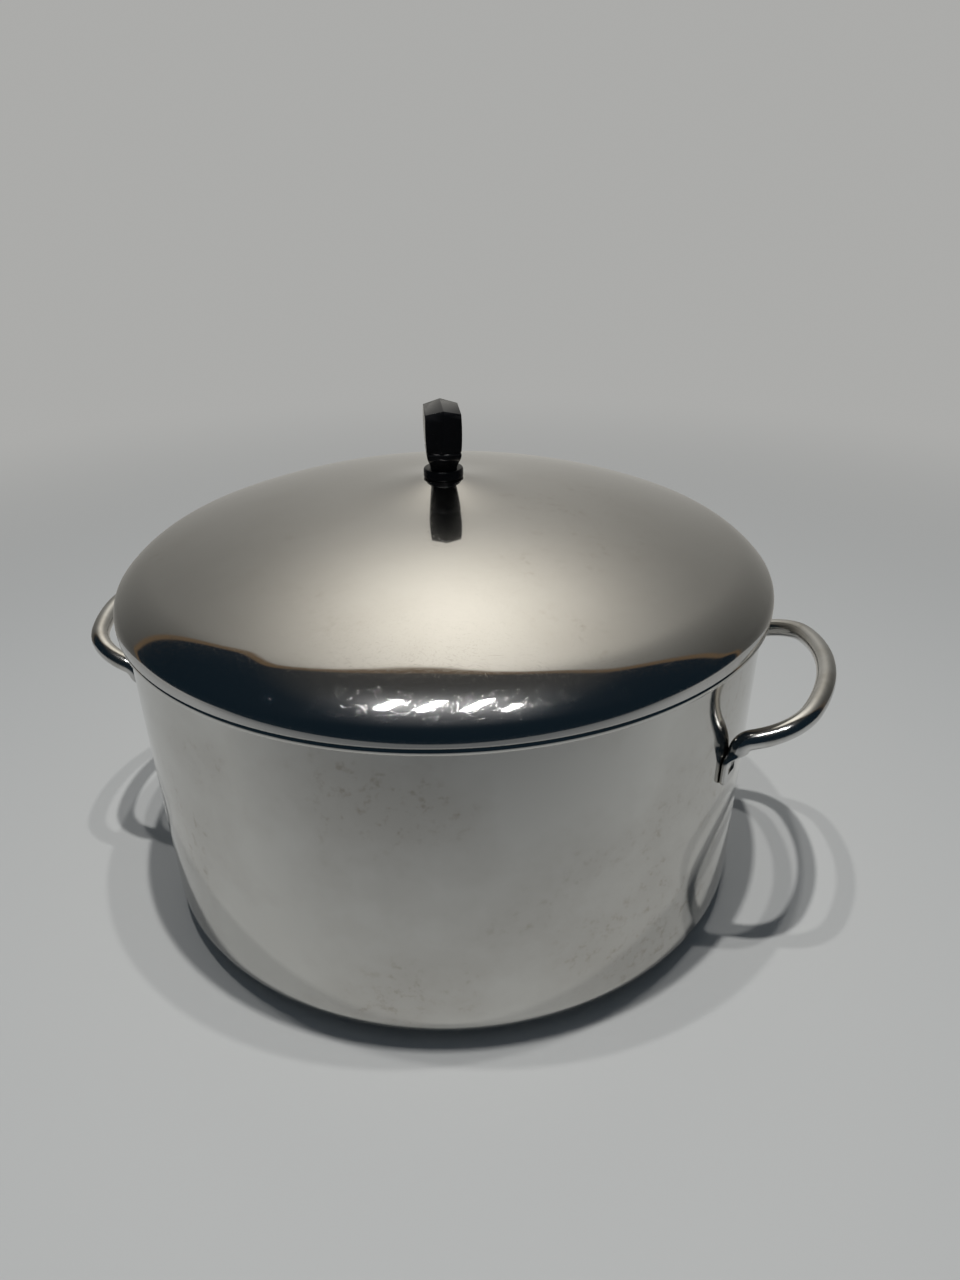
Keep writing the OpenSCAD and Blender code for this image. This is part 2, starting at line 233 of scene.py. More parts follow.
# Kettle. One disc of stainless sheet, drawn and spun to a straight wall that opens a little to the
# top, where its edge rolls outwards. It is polished bright; the buffing runs round the axis.
SHEET = 0.0008
WALL_DRAFT = math.radians(1.2)
CORNER_RADIUS = 0.0116
BEAD_DIAMETER = 0.0038
CURL_SWEEP = math.radians(282)
FLOOR_MIDDLE = 0.012
FLOOR_END = 0.005
FLOOR_EDGE = 0.0015
WALL_EDGE = 0.002
TURNED_SIDES = 72
STEEL_COLOUR = (0.60, 0.59, 0.56, 1)
DULLED_COLOUR = (0.38, 0.355, 0.315, 1)
STAIN_COLOUR = (0.27, 0.22, 0.16, 1)
GREASE_ROUGHNESS = 0.26
GREASE_IOR = 1.9
LONG_SCRATCHES = (110.0, 0.00005)
SHORT_SCRATCHES = ((330.0, 0.00005, 2), (800.0, 0.00004, 3))
SCRATCH_DEPTH = 0.000006
LINE_DEPTH = 0.000004

shell_low, shell_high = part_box("kettle_shell")
RIM_RADIUS = shell_high.x


def swell(sides):
    """How much wider a ring of so many points is drawn, so that it ends at its size once subdivided."""
    return 3 / (2 + math.cos(2 * math.pi / sides))


def along(path, length, steps=1):
    """Goes straight on from the end of a path of (radius, height, heading)."""
    r, z, heading = path[-1]
    for step in range(1, steps + 1):
        part = length * step / steps
        path.append((r + part * math.cos(heading), z + part * math.sin(heading), heading))


def round_bend(path, radius, sweep, steps):
    """Goes on round a bend: to the left, or to the right where the radius and sweep are negative."""
    r, z, heading = path[-1]
    for step in range(1, steps + 1):
        turned = heading + sweep * step / steps
        path.append((r + radius * (math.sin(turned) - math.sin(heading)),
                     z + radius * (math.cos(heading) - math.cos(turned)), turned))


def finish_mesh(piece, *modifiers):
    """Applies modifiers, given as (type, settings), and shades the piece smooth."""
    bpy.context.view_layer.objects.active = piece
    for kind, settings in modifiers:
        made = piece.modifiers.new(kind.lower(), kind)
        for name, value in settings.items():
            setattr(made, name, value)
        bpy.ops.object.modifier_apply(modifier=made.name)
    deselect()
    piece.select_set(True)
    bpy.ops.object.shade_smooth()


def turned_sheet(name, path, thickness, closed_middle=False):
    """A round piece of sheet, drawn out ring by ring along the path of its outer face."""
    deselect()
    r, z, _ = path[0]
    bpy.ops.mesh.primitive_circle_add(vertices=TURNED_SIDES, radius=r * swell(TURNED_SIDES),
                                      location=(0, 0, z))
    piece = bpy.context.object
    piece.name = piece.data.name = name
    bpy.ops.object.transform_apply(location=True, rotation=False, scale=False)
    bpy.ops.object.mode_set(mode="EDIT")
    bpy.ops.mesh.select_all(action="SELECT")
    if closed_middle:
        bpy.ops.mesh.edge_face_add()
        bpy.ops.mesh.region_to_loop()
    for next_r, next_z, _ in path[1:]:
        bpy.ops.mesh.extrude_edges_move(TRANSFORM_OT_translate={"value": (0, 0, next_z - z)})
        bpy.ops.transform.resize(value=(next_r / r, next_r / r, 1), center_override=(0, 0, next_z))
        r, z = next_r, next_z
    bpy.ops.mesh.select_all(action="SELECT")
    bpy.ops.mesh.normals_make_consistent(inside=False)
    first = bmesh.from_edit_mesh(piece.data).faces[:][1]
    spoke = first.calc_center_median().to_2d().normalized()
    right_of_path = Vector((math.sin(path[0][2]), -math.cos(path[0][2])))
    if Vector((first.normal.to_2d() @ spoke, first.normal.z)) @ right_of_path < 0:
        bpy.ops.mesh.flip_normals()
    bpy.ops.object.mode_set(mode="OBJECT")
    wall = {"thickness": thickness, "offset": -1, "use_even_offset": True, "use_quality_normals": True}
    smooth = {"levels": 2, "render_levels": 2, "boundary_smooth": "PRESERVE_CORNERS"}
    finish_mesh(piece, ("SOLIDIFY", wall), ("SUBSURF", smooth))
    return piece


bead_height = shell_high.z - BEAD_DIAMETER / 2
wall_radius = RIM_RADIUS - BEAD_DIAMETER + SHEET
wall_rise = bead_height - shell_low.z - CORNER_RADIUS * (1 - math.sin(WALL_DRAFT))
wall_length = wall_rise / math.cos(WALL_DRAFT)
floor_radius = wall_radius - wall_length * math.sin(WALL_DRAFT) - CORNER_RADIUS * math.cos(WALL_DRAFT)
path = [(FLOOR_MIDDLE, shell_low.z, 0)]
along(path, floor_radius - FLOOR_MIDDLE - FLOOR_END, 4)
along(path, FLOOR_END - FLOOR_EDGE)
along(path, FLOOR_EDGE)
round_bend(path, CORNER_RADIUS, math.radians(90) - WALL_DRAFT, 8)
along(path, WALL_EDGE)
along(path, wall_length - 2 * WALL_EDGE, 8)
along(path, WALL_EDGE)
round_bend(path, SHEET - BEAD_DIAMETER / 2, -CURL_SWEEP, 12)
kettle = turned_sheet("kettle", path, SHEET, closed_middle=True)


def scratch_marks(tree, flat_place, density, width, share):
    """Short straight scratches, each in a cell of its own and turned at random: 1 on one, else 0."""
    cells = node(tree, "TexVoronoi", flat_place, None, density, voronoi_dimensions="2D")
    chance, spin, _ = node(tree, "SeparateColor", cells.outputs["Color"]).outputs
    from_middle = node(tree, "VectorMath", flat_place, cells.outputs["Position"], operation="SUBTRACT")
    angle = node(tree, "Math", spin, 2 * math.pi, operation="MULTIPLY")
    turned = node(tree, "VectorRotate", from_middle, None, None, angle, rotation_type="Z_AXIS")
    long_way, cross_way, _ = node(tree, "SeparateXYZ", turned).outputs
    length = node(tree, "Math", long_way, operation="ABSOLUTE")
    breadth = node(tree, "Math", cross_way, operation="ABSOLUTE")
    tapered = node(tree, "MapRange", length, 0.1 / density, 0.45 / density, 1, 0)
    thin = node(tree, "MapRange", breadth, 0, width, 1, 0)
    is_here = node(tree, "Math", chance, share, operation="LESS_THAN")
    line = node(tree, "Math", tapered, thin, operation="MULTIPLY")
    return node(tree, "Math", line, is_here, operation="MULTIPLY")


def polished_steel(name, colour, roughness, on_wall, haze, wear, buffing, grease):
    """Bright buffed steel under a thin film of grease: fine lines round the axis, patches of haze, stray
    scratches and stains. The marks are laid out from above, or round the wall; wear is their share.
    Buffing is how strongly the wheel's finer lines show."""
    material, tree, shader = new_material(name, Metallic=1.0, Base_Color=colour, Coat_Weight=grease,
                                          Coat_Roughness=GREASE_ROUGHNESS, Coat_IOR=GREASE_IOR)
    place = node(tree, "TexCoord").outputs["Object"]
    x, y, z = node(tree, "SeparateXYZ", place).outputs
    level = node(tree, "CombineXYZ", x, y, 0.0)
    radius = node(tree, "VectorMath", level, operation="LENGTH").outputs["Value"]
    spoke = node(tree, "VectorMath", level, operation="NORMALIZE")
    spoke_x, spoke_y, _ = node(tree, "SeparateXYZ", spoke).outputs
    around = node(tree, "Math", y, x, operation="ARCTAN2")
    girth = node(tree, "Math", around, RIM_RADIUS, operation="MULTIPLY")
    wall_place = node(tree, "CombineXYZ", girth, z, 0.0)
    flat_place = wall_place if on_wall else level
    profile = node(tree, "Math", z, radius, operation="ADD" if on_wall else "SUBTRACT")
    fine_profile = node(tree, "Math", profile, 900.0, operation="MULTIPLY")
    lines_place = node(tree, "CombineXYZ", spoke_x, spoke_y, fine_profile)
    lines = node(tree, "TexNoise", lines_place, None, 2.0, 4.0, 0.6)
    wheel_profile = node(tree, "Math", profile, 7000.0, operation="MULTIPLY")
    wheel_place = node(tree, "CombineXYZ", node(tree, "Math", spoke_x, 40.0, operation="MULTIPLY"),
                       node(tree, "Math", spoke_y, 40.0, operation="MULTIPLY"), wheel_profile)
    wheel_lines = node(tree, "MapRange", node(tree, "TexNoise", wheel_place, None, 1.0, 2.0, 0.5),
                       0.58, 0.74, 0.0, buffing)
    film = node(tree, "TexNoise", place, None, 14.0, 5.0, 0.62)
    film_amount = node(tree, "MapRange", film, 0.42, 0.72, 0.0, haze)
    marks = scratch_marks(tree, flat_place, *LONG_SCRATCHES, wear)
    for density, width, times in SHORT_SCRATCHES:
        shifted = node(tree, "VectorMath", flat_place, (density, density, 0.0))
        more = scratch_marks(tree, shifted, density, width, times * wear)
        marks = node(tree, "Math", marks, more, operation="MAXIMUM")
    stains = node(tree, "TexNoise", place, None, 230.0, 4.0, 0.7)
    stained = node(tree, "MapRange", film, 0.53, 0.62, 0.0, 1.0)
    stain = node(tree, "Math", node(tree, "MapRange", stains, 0.54, 0.68, 0.0, 1.0), stained,
                 operation="MULTIPLY")
    film_tone = node(tree, "MapRange", film, 0.42, 0.64, 0.0, 7 * haze)
    toned = node(tree, "MixRGB", film_tone, colour, DULLED_COLOUR)
    stain_tone = node(tree, "Math", stain, 8 * haze, operation="MULTIPLY")
    toned = node(tree, "MixRGB", stain_tone, toned, STAIN_COLOUR)
    tree.links.new(toned.outputs[0], shader.inputs["Base Color"])
    lined = node(tree, "Math", lines, roughness * 0.9, operation="MULTIPLY")
    worn = node(tree, "Math", lined, roughness * 0.55)
    dulled = node(tree, "Math", worn, film_amount)
    stain_rough = node(tree, "Math", dulled, node(tree, "Math", stain, 0.05, operation="MULTIPLY"))
    rough = node(tree, "Math", stain_rough, node(tree, "Math", marks, 0.12, operation="MULTIPLY"))
    tree.links.new(rough.outputs[0], shader.inputs["Roughness"])
    ground = node(tree, "Bump", 0.1, LINE_DEPTH, 0.1, lines)
    grooves = node(tree, "Math", marks, wheel_lines, operation="MAXIMUM")
    cut = node(tree, "Bump", 1.0, SCRATCH_DEPTH, 0.1, grooves, ground, invert=True)
    tree.links.new(cut.outputs[0], shader.inputs["Normal"])
    return material


kettle_steel = polished_steel("kettle_steel", STEEL_COLOUR, roughness=0.05, on_wall=True, haze=0.05,
                              wear=0.06, buffing=0.1, grease=0.15)
kettle.data.materials.append(kettle_steel)
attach(kettle, "kettle")
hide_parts("kettle_shell")


# Base plate. A flat disc of aluminium, bonded under the floor to spread the heat. It was faced in a
# lathe, so fine rings run round it, and the hob has dulled and stained it.
PLATE_COLOUR = (0.60, 0.60, 0.61, 1)
HOB_STAIN_COLOUR = (0.36, 0.33, 0.30, 1)
plate_metal, tree, shader = new_material("plate_aluminium", Metallic=1.0, Base_Color=PLATE_COLOUR)
place = node(tree, "TexCoord").outputs["Object"]
rings = node(tree, "TexWave", place, 260.0, 0.6, 2.0, wave_type="RINGS", rings_direction="Z")
stains = node(tree, "TexNoise", place, None, 22.0, 6.0, 0.65)
stain_tone = node(tree, "MapRange", stains, 0.35, 0.75, 0.0, 1.0)
plate_tone = node(tree, "MixRGB", stain_tone, PLATE_COLOUR, HOB_STAIN_COLOUR)
tree.links.new(plate_tone.outputs[0], shader.inputs["Base Color"])
plate_rough = node(tree, "MapRange", stains, 0.3, 0.8, 0.28, 0.5)
tree.links.new(plate_rough.outputs[0], shader.inputs["Roughness"])
tree.links.new(node(tree, "Bump", 0.35, 0.00003, 1.0, rings).outputs[0], shader.inputs["Normal"])
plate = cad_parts["base_plate"]
plate.data.materials.clear()
plate.data.materials.append(plate_metal)


# Handles. Each is one length of stainless rod, bent to a bowed loop and down at both legs, whose ends
# are pressed flat and spot-welded to the wall. A weld leaves a square dent. The rod has a satin polish.
ROD_DIAMETER = 0.0078
HANDLE_SPAN = 0.095
HANDLE_DROP = 0.0377
HANDLE_TILT = math.radians(18.5)
BOW_RADIUS = 0.083
LOOP_CORNER_RADIUS = 0.0235
LEG_LENGTH = 0.0016
ANKLE_RADIUS = 0.006
TAB_THICKNESS = 0.0022
TAB_WIDTH = 0.0125
TAB_HEIGHT = 0.011
TAB_CORNER_RADIUS = 0.0025
PRESS_HEIGHT = 0.0035
WELD_MARK = 0.006
WELD_MARK_DEPTH = 0.0008
WELD_MARK_DROP = 0.0008
WELD_GAP = 0.00005
ROD_SIDES = 16
ROD_COLOUR = (0.62, 0.615, 0.60, 1)


def wall_radius_at(height):
    """Outside radius of the kettle's wall."""
    return wall_radius - (bead_height - height) * math.tan(WALL_DRAFT)


def pressed_flat(ring, amount, narrower, thinner, middle, turned):
    """Presses a round ring of the rod: to a flat bar with full corners where the amount is 1."""
    round_centre = sum((point.co for point in ring), Vector()) / len(ring)
    round_radius = ROD_DIAMETER / 2 * swell(ROD_SIDES)
    half_width = (1 - amount) * round_radius + amount * TAB_WIDTH / 2 - narrower
    half_thickness = (1 - amount) * round_radius + amount * TAB_THICKNESS / 2 - thinner
    power = 1 - 0.7 * amount
    for point in ring:
        spoke = point.co - round_centre
        angle = math.atan2(spoke.x, spoke.y)
        wide = math.copysign(abs(math.cos(angle)) ** power, math.cos(angle)) * half_width
        thick = math.copysign(abs(math.sin(angle)) ** power, math.sin(angle)) * half_thickness
        point.co = middle + turned @ Vector((thick, wide, 0))


def press_leg_end(piece, leg_end):
    """Draws the end of the leg down along the wall and presses it flat, with two round corners."""
    straight = TAB_HEIGHT - TAB_CORNER_RADIUS
    rings = [(PRESS_HEIGHT * 0.5, 0.55, 0, 0), (PRESS_HEIGHT, 1, 0, 0)]
    rings.append((PRESS_HEIGHT + straight * 0.5, 1, 0, 0))
    for step in range(5):
        angle = math.radians(90) * step / 4
        drop = PRESS_HEIGHT + straight + TAB_CORNER_RADIUS * math.sin(angle)
        rings.append((drop, 1, TAB_CORNER_RADIUS * (1 - math.cos(angle)), 0))
    rings.append((PRESS_HEIGHT + TAB_HEIGHT + 0.00001, 1, 1.2 * TAB_CORNER_RADIUS, TAB_THICKNESS * 0.12))
    drop = 0
    for next_drop, _, _, _ in rings:
        bpy.ops.mesh.extrude_edges_move(TRANSFORM_OT_translate={"value": (0, 0, drop - next_drop)})
        drop = next_drop
    bpy.ops.mesh.edge_face_add()
    mesh = bmesh.from_edit_mesh(piece.data)
    tab_start = leg_end.z - PRESS_HEIGHT
    leg_radius = wall_radius_at(tab_start) + WELD_GAP + ROD_DIAMETER / 2
    turned = Matrix.Rotation(math.asin(HANDLE_SPAN / 2 / leg_radius), 3, "Z")
    for drop, amount, narrower, thinner in rings:
        height = leg_end.z - drop
        ring = [point for point in mesh.verts if abs(point.co.z - height) < 0.000002]
        tab_middle = turned @ Vector((wall_radius_at(height) + WELD_GAP + TAB_THICKNESS / 2, 0, 0))
        middle = leg_end.lerp(tab_middle, amount)
        middle.z = height
        pressed_flat(ring, amount, narrower, thinner, middle, turned)
    bmesh.update_edit_mesh(piece.data)
    return turned, tab_start


def bent_rod_handle(name):
    """The handle on the right: half of it is bent up from the middle of its bow, then mirrored."""
    outwards = Vector((math.cos(HANDLE_TILT), 0, math.sin(HANDLE_TILT)))
    upwards = Vector((-math.sin(HANDLE_TILT), 0, math.cos(HANDLE_TILT)))
    sideways = Vector((0, 1, 0))
    bow_sweep = math.asin((HANDLE_SPAN / 2 - LOOP_CORNER_RADIUS) / (BOW_RADIUS - LOOP_CORNER_RADIUS))
    ankle_sweep = math.radians(90) - HANDLE_TILT
    ankle_height = shell_high.z - HANDLE_DROP
    leg_radius = wall_radius_at(ankle_height) + WELD_GAP + ROD_DIAMETER / 2
    ankle = Vector((math.sqrt(leg_radius ** 2 - (HANDLE_SPAN / 2) ** 2), 0, ankle_height))
    ankle_run = ANKLE_RADIUS * math.tan(ankle_sweep / 2)
    reach = (BOW_RADIUS * (1 - math.cos(bow_sweep)) + LOOP_CORNER_RADIUS * math.cos(bow_sweep)
             + LEG_LENGTH + ankle_run)
    bow_middle = ankle + reach * outwards
    bow_centre = bow_middle - BOW_RADIUS * outwards
    corner_spoke = math.cos(bow_sweep) * outwards + math.sin(bow_sweep) * sideways
    corner_centre = bow_centre + (BOW_RADIUS - LOOP_CORNER_RADIUS) * corner_spoke
    deselect()
    bpy.ops.mesh.primitive_circle_add(vertices=ROD_SIDES, radius=ROD_DIAMETER / 2 * swell(ROD_SIDES),
                                      location=bow_middle, rotation=(math.radians(90), -HANDLE_TILT, 0))
    piece = bpy.context.object
    piece.name = piece.data.name = name
    bpy.ops.object.transform_apply(location=True, rotation=True, scale=False)
    bpy.ops.object.mode_set(mode="EDIT")
    bpy.ops.mesh.select_all(action="SELECT")
    bpy.ops.mesh.spin(steps=4, angle=-bow_sweep, center=bow_centre, axis=upwards)
    bpy.ops.mesh.spin(steps=6, angle=bow_sweep - math.radians(90), center=corner_centre, axis=upwards)
    bpy.ops.mesh.extrude_edges_move(TRANSFORM_OT_translate={"value": -LEG_LENGTH * outwards})
    bend_start = ankle + ankle_run * outwards + HANDLE_SPAN / 2 * sideways
    ankle_centre = bend_start - ANKLE_RADIUS * upwards
    bpy.ops.mesh.spin(steps=5, angle=ankle_sweep, center=ankle_centre, axis=sideways)
    leg_end = ankle + HANDLE_SPAN / 2 * sideways - Vector((0, 0, ankle_run))
    turned, tab_start = press_leg_end(piece, leg_end)
    bpy.ops.mesh.select_all(action="SELECT")
    bpy.ops.mesh.normals_make_consistent(inside=False)
    bpy.ops.object.mode_set(mode="OBJECT")
    both_legs = {"use_axis": (False, True, False), "merge_threshold": 0.00001}
    finish_mesh(piece, ("MIRROR", both_legs), ("SUBSURF", {"levels": 2, "render_levels": 2}))
    mark_height = tab_start - WELD_MARK_DROP - WELD_MARK / 2
    face_radius = wall_radius_at(tab_start) + WELD_GAP + TAB_THICKNESS
    for side in (-1, 1):
        deselect()
        mark = turned @ Vector((face_radius - WELD_MARK_DEPTH + WELD_MARK / 2, 0, mark_height))
        bpy.ops.mesh.primitive_cube_add(size=WELD_MARK, location=(mark.x, side * mark.y, mark_height),
                                        rotation=(0, 0, side * turned.to_euler().z))
        electrode = bpy.context.object
        dent = {"operation": "DIFFERENCE", "object": electrode, "solver": "EXACT"}
        finish_mesh(piece, ("BOOLEAN", dent))
        bpy.data.objects.remove(electrode)
    deselect()
    piece.select_set(True)
    bpy.context.view_layer.objects.active = piece
    bpy.ops.object.shade_smooth_by_angle(angle=math.radians(35))
    return piece


def satin_rod_steel():
    """Rod steel, polished by hand: soft patches, fine grain and a duller, handled tone."""
    material, tree, shader = new_material("rod_steel", Metallic=1.0, Base_Color=ROD_COLOUR)
    place = node(tree, "TexCoord").outputs["Object"]
    patches = node(tree, "TexNoise", place, None, 55.0, 4.0, 0.6)
    grain = node(tree, "TexNoise", place, None, 1400.0, 3.0, 0.6)
    both = node(tree, "Math", node(tree, "Math", grain, 0.35, operation="MULTIPLY"), patches)
    rough = node(tree, "MapRange", both, 0.45, 0.9, 0.10, 0.24)
    tree.links.new(rough.outputs[0], shader.inputs["Roughness"])
    handled = node(tree, "MapRange", patches, 0.45, 0.70, 0.0, 0.6)
    rod_tone = node(tree, "MixRGB", handled, ROD_COLOUR, DULLED_COLOUR)
    tree.links.new(rod_tone.outputs[0], shader.inputs["Base Color"])
    tree.links.new(node(tree, "Bump", 0.2, 0.00001, 1.0, both).outputs[0], shader.inputs["Normal"])
    return material


rod_steel = satin_rod_steel()
right_handle = bent_rod_handle("handle_right_rod")
right_handle.data.materials.append(rod_steel)
left_handle = right_handle.copy()
left_handle.data = right_handle.data.copy()
left_handle.name = left_handle.data.name = "handle_left_rod"
left_handle.data.transform(Matrix.Rotation(math.pi, 4, "Z"))
scene.collection.objects.link(left_handle)
for handle, cad_node in ((right_handle, "handle_right"), (left_handle, "handle_left")):
    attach(handle, "kettle")
    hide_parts(cad_node)


# Lid. One disc of the same sheet, spun to a dome: an upright lip, a tight shoulder, and a long easy
# crown that turns up again to a small flat seat for the knob. Polished, with a softer, handled crown.
LID_SHEET = 0.0007
LIP_HEIGHT = 0.0019
LIP_EDGE = 0.0004
SHOULDER_RADIUS = 0.0082
SHOULDER_SWEEP = math.radians(41.5)
HAUNCH_RADIUS = 0.0398
HAUNCH_SLOPE = math.radians(22.4)
FLARE_START = 0.040
CROWN_SLOPE = math.radians(6)
FLARE_SLOPE = math.radians(14)
SEAT_BEND_RADIUS = 0.002
SEAT_RADIUS = 0.009
SCREW_HOLE_RADIUS = 0.0027
LID_COLOUR = (0.55, 0.54, 0.52, 1)

lid_low, lid_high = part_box("lid_shell")
path = [(lid_high.x, lid_low.z, math.radians(90))]
along(path, LIP_EDGE)
along(path, LIP_HEIGHT - LIP_EDGE)
round_bend(path, SHOULDER_RADIUS, SHOULDER_SWEEP, 5)
round_bend(path, HAUNCH_RADIUS, math.radians(90) - SHOULDER_SWEEP - HAUNCH_SLOPE, 5)
dome_radius = (path[-1][0] - FLARE_START) / (math.sin(HAUNCH_SLOPE) - math.sin(CROWN_SLOPE))
round_bend(path, dome_radius, HAUNCH_SLOPE - CROWN_SLOPE, 9)
flare_end = SEAT_RADIUS + SEAT_BEND_RADIUS * math.sin(FLARE_SLOPE)
flare_radius = (FLARE_START - flare_end) / (math.sin(FLARE_SLOPE) - math.sin(CROWN_SLOPE))
round_bend(path, -flare_radius, CROWN_SLOPE - FLARE_SLOPE, 5)
round_bend(path, SEAT_BEND_RADIUS, FLARE_SLOPE, 3)
along(path, SEAT_RADIUS - SCREW_HOLE_RADIUS, 2)
lid = turned_sheet("lid", path, LID_SHEET)
lid_steel = polished_steel("lid_steel", LID_COLOUR, roughness=0.05, on_wall=False, haze=0.025,
                           wear=0.22, buffing=0.12, grease=0.5)
lid.data.materials.append(lid_steel)
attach(lid, "lid")
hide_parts("lid_shell")


# Lid ring. A second strip of sheet inside the lip: its ledge rests on the kettle's rolled rim, and its
# skirt drops inside the kettle and keeps the lid in place.
SKIRT_RADIUS = 0.1312
RING_BEND_RADIUS = 0.0012
SKIRT_EDGE = 0.0005

ring_low, ring_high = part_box("lid_ring")
ledge_top = ring_high.z
path = [(ring_high.x, ledge_top, math.radians(180))]
along(path, ring_high.x - SKIRT_RADIUS + LID_SHEET - RING_BEND_RADIUS, 3)
round_bend(path, RING_BEND_RADIUS, math.radians(90), 4)
along(path, ledge_top - RING_BEND_RADIUS - ring_low.z - SKIRT_EDGE, 3)
along(path, SKIRT_EDGE)
lid_ring = turned_sheet("lid_inner_ring", path, LID_SHEET)
lid_ring.data.materials.append(lid_steel)
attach(lid_ring, "lid")
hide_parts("lid_ring")


# Knob. Moulded black phenolic on a round foot: a waisted neck spreads to a long block with two flat
# faces, ends that meet at a blunt ridge, and a low roof; a crease parts the two. A hollow in its foot
# takes the brass bush.
FOOT_RADIUS = 0.0082
FOOT_HEIGHT = 0.0041
FOOT_EDGE = 0.0008
NECK_WIDTH = 0.0106
NECK_HEIGHT = 0.008
FACE_HEIGHT = 0.0158
ROOF_HEIGHT = 0.0018
BLOCK_WIDTHS = (0.0140, 0.0142)
BLOCK_SWELL = 0.0003
BLOCK_LENGTHS = (0.020, 0.022)
END_RAKE = math.radians(12)
KNOB_TURN = math.radians(20)
CREASE_WIDTH = 0.0012
CREASE_DEPTH = 0.0005
HOLLOW_RADIUS = 0.0040
HOLLOW_HEIGHT = 0.0105
MOULD_EDGE = 0.00035

block_start = FOOT_HEIGHT + NECK_HEIGHT
eaves = block_start + FACE_HEIGHT
ridge = eaves + ROOF_HEIGHT
rings = [(FOOT_HEIGHT / 2, NECK_WIDTH, NECK_WIDTH)]
for step in range(9):
    ease = (1 - math.cos(math.pi * step / 8)) / 2
    rings.append((FOOT_HEIGHT + (NECK_HEIGHT - CREASE_WIDTH / 2) * step / 8,
                  NECK_WIDTH + (BLOCK_WIDTHS[0] - NECK_WIDTH) * ease,
                  NECK_WIDTH + (BLOCK_LENGTHS[0] - NECK_WIDTH) * ease))
rings.append((block_start, BLOCK_WIDTHS[0] - 2 * CREASE_DEPTH, BLOCK_LENGTHS[0] - 2 * CREASE_DEPTH))
rings.append((block_start + CREASE_WIDTH / 2, BLOCK_WIDTHS[0], BLOCK_LENGTHS[0]))
for step in range(1, 7):
    height = block_start + FACE_HEIGHT * step / 6
    spread = (height - block_start) / (ridge - block_start)
    wide = BLOCK_WIDTHS[0] + (BLOCK_WIDTHS[1] - BLOCK_WIDTHS[0]) * step / 6
    swollen = wide + 8 * BLOCK_SWELL * step / 6 * (1 - step / 6)
    rings.append((height, swollen, BLOCK_LENGTHS[0] + (BLOCK_LENGTHS[1] - BLOCK_LENGTHS[0]) * spread))
rings.append((ridge + 0.001, BLOCK_WIDTHS[1], BLOCK_LENGTHS[1] * 1.01))

deselect()
bpy.ops.mesh.primitive_circle_add(vertices=6, radius=NECK_WIDTH / 2, location=(0, 0, rings[0][0]))
knob = bpy.context.object
knob.name = knob.data.name = "knob_moulding"
bpy.ops.object.transform_apply(location=True, rotation=False, scale=False)
bpy.ops.object.mode_set(mode="EDIT")
bpy.ops.mesh.select_all(action="SELECT")
bpy.ops.mesh.edge_face_add()
bpy.ops.mesh.region_to_loop()
height = rings[0][0]
for next_height, _, _ in rings[1:]:
    bpy.ops.mesh.extrude_edges_move(TRANSFORM_OT_translate={"value": (0, 0, next_height - height)})
    height = next_height
bpy.ops.mesh.edge_face_add()
for height, wide, length in rings:
    mesh = bmesh.from_edit_mesh(knob.data)
    for is_end in (True, False):
        bpy.ops.mesh.select_all(action="DESELECT")
        chosen = [point for point in mesh.verts
                  if abs(point.co.z - height) < 0.00001 and (abs(point.co.x) < 0.0001) == is_end]
        for point in chosen:
            point.select = True
        bmesh.update_edit_mesh(knob.data)
        old = chosen[0].co
        corner = length / 2 - (0 if is_end else wide / 2 * math.sin(END_RAKE))
        size = (1 if is_end else wide / 2 / abs(old.x), corner / math.cos(END_RAKE) / abs(old.y), 1)
        bpy.ops.transform.resize(value=size, center_override=(0, 0, height))
for side in (-1, 1):
    bpy.ops.mesh.select_all(action="SELECT")
    bpy.ops.mesh.bisect(plane_co=(0, 0, ridge), plane_no=(side * ROOF_HEIGHT, 0, BLOCK_WIDTHS[1] / 2),
                        use_fill=True, clear_outer=True, threshold=0.000001)
bpy.ops.mesh.select_all(action="SELECT")
bpy.ops.mesh.remove_doubles(threshold=0.000001)
bpy.ops.mesh.normals_make_consistent(inside=False)
bpy.ops.object.mode_set(mode="OBJECT")

deselect()
bpy.ops.mesh.primitive_cylinder_add(vertices=96, radius=FOOT_RADIUS, depth=FOOT_HEIGHT,
                                    location=(0, 0, FOOT_HEIGHT / 2))
foot = bpy.context.object
finish_mesh(foot, ("BEVEL", {"width": FOOT_EDGE, "segments": 4, "limit_method": "ANGLE"}))
deselect()
bpy.ops.mesh.primitive_cylinder_add(vertices=64, radius=HOLLOW_RADIUS, depth=2 * HOLLOW_HEIGHT)
hollow = bpy.context.object
edges = {"width": MOULD_EDGE, "segments": 3, "limit_method": "ANGLE", "angle_limit": math.radians(17),
         "harden_normals": True}
finish_mesh(knob, ("BOOLEAN", {"operation": "UNION", "object": foot, "solver": "EXACT"}),
            ("BEVEL", edges),
            ("BOOLEAN", {"operation": "DIFFERENCE", "object": hollow, "solver": "EXACT"}))
bpy.data.objects.remove(foot)
bpy.data.objects.remove(hollow)
knob.data.transform(Matrix.Translation((0, 0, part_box("knob")[0].z)) @ Matrix.Rotation(KNOB_TURN, 4, "Z"))
bpy.ops.object.shade_smooth_by_angle(angle=math.radians(32))

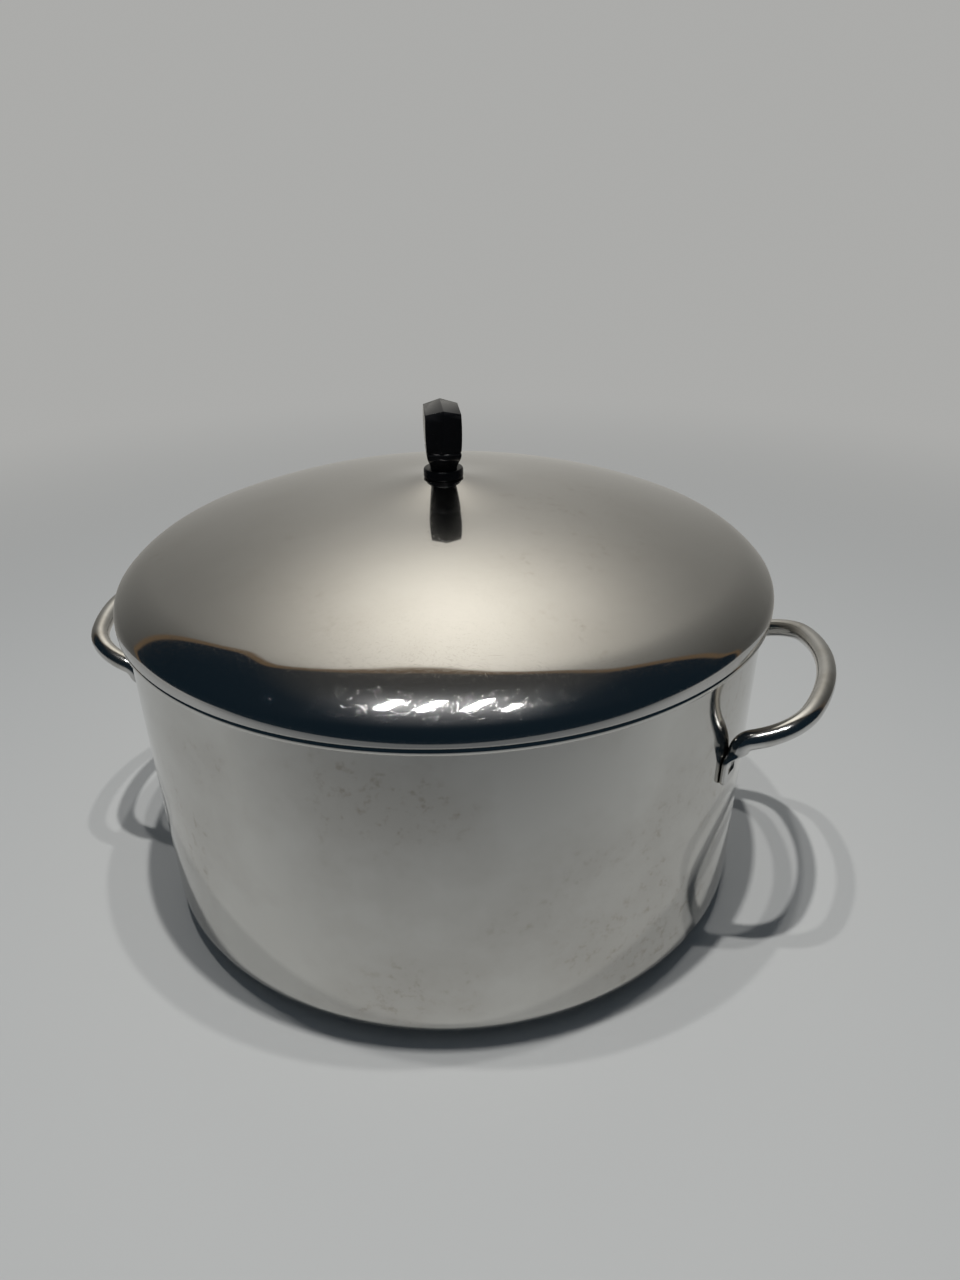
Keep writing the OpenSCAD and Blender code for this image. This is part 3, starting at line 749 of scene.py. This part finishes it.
phenolic, tree, shader = new_material("black_phenolic", Base_Color=(0.011, 0.011, 0.012, 1),
                                      Specular_IOR_Level=0.16)
place = node(tree, "TexCoord").outputs["Object"]
flow = node(tree, "TexNoise", place, None, 130.0, 4.0, 0.55)
specks = node(tree, "TexNoise", place, None, 2400.0, 2.0, 0.5)
speck = node(tree, "MapRange", specks, 0.66, 0.74, 0.0, 1.0)
tone = node(tree, "MixRGB", speck, (0.010, 0.010, 0.011, 1), (0.035, 0.034, 0.034, 1))
tree.links.new(tone.outputs[0], shader.inputs["Base Color"])
dull_speck = node(tree, "Math", speck, 0.12, operation="MULTIPLY")
gloss = node(tree, "MapRange", node(tree, "Math", flow, dull_speck), 0.35, 0.85, 0.09, 0.24)
tree.links.new(gloss.outputs[0], shader.inputs["Roughness"])
tree.links.new(node(tree, "Bump", 0.25, 0.00001, 1.0, flow).outputs[0], shader.inputs["Normal"])
knob.data.materials.append(phenolic)
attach(knob, "lid")
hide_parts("knob")


# Knob fastening. A turned brass bush sits in the knob, and a slotted steel screw comes up into it
# through a washer under the lid. The brass has dulled; the steel has turning marks and soup stains.
brass, tree, shader = new_material("dull_brass", Metallic=1.0, Base_Color=(0.62, 0.45, 0.20, 1))
place = node(tree, "TexCoord").outputs["Object"]
tarnish = node(tree, "TexNoise", place, None, 420.0, 5.0, 0.6)
brass_tone = node(tree, "MixRGB", node(tree, "MapRange", tarnish, 0.4, 0.7, 0.0, 1.0),
                  (0.66, 0.48, 0.21, 1), (0.38, 0.25, 0.11, 1))
tree.links.new(brass_tone.outputs[0], shader.inputs["Base Color"])
brass_rough = node(tree, "MapRange", tarnish, 0.3, 0.8, 0.22, 0.5)
tree.links.new(brass_rough.outputs[0], shader.inputs["Roughness"])
turning = node(tree, "TexWave", place, 700.0, 0.4, 2.0, wave_type="BANDS", bands_direction="Z")
tree.links.new(node(tree, "Bump", 0.3, 0.00002, 1.0, turning).outputs[0], shader.inputs["Normal"])
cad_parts["knob_bush"].data.materials.clear()
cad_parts["knob_bush"].data.materials.append(brass)

screw_steel, tree, shader = new_material("screw_steel", Metallic=1.0, Base_Color=(0.55, 0.55, 0.54, 1))
place = node(tree, "TexCoord").outputs["Object"]
stain = node(tree, "TexNoise", place, None, 260.0, 5.0, 0.65)
steel_tone = node(tree, "MixRGB", node(tree, "MapRange", stain, 0.45, 0.7, 0.0, 1.0),
                  (0.56, 0.56, 0.55, 1), (0.36, 0.33, 0.30, 1))
tree.links.new(steel_tone.outputs[0], shader.inputs["Base Color"])
tree.links.new(node(tree, "MapRange", stain, 0.3, 0.8, 0.2, 0.45).outputs[0], shader.inputs["Roughness"])
turning = node(tree, "TexWave", place, 420.0, 0.3, 2.0, wave_type="RINGS", rings_direction="Z")
tree.links.new(node(tree, "Bump", 0.3, 0.00002, 1.0, turning).outputs[0], shader.inputs["Normal"])
for cad_node in ("knob_screw", "knob_washer"):
    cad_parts[cad_node].data.materials.clear()
    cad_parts[cad_node].data.materials.append(screw_steel)
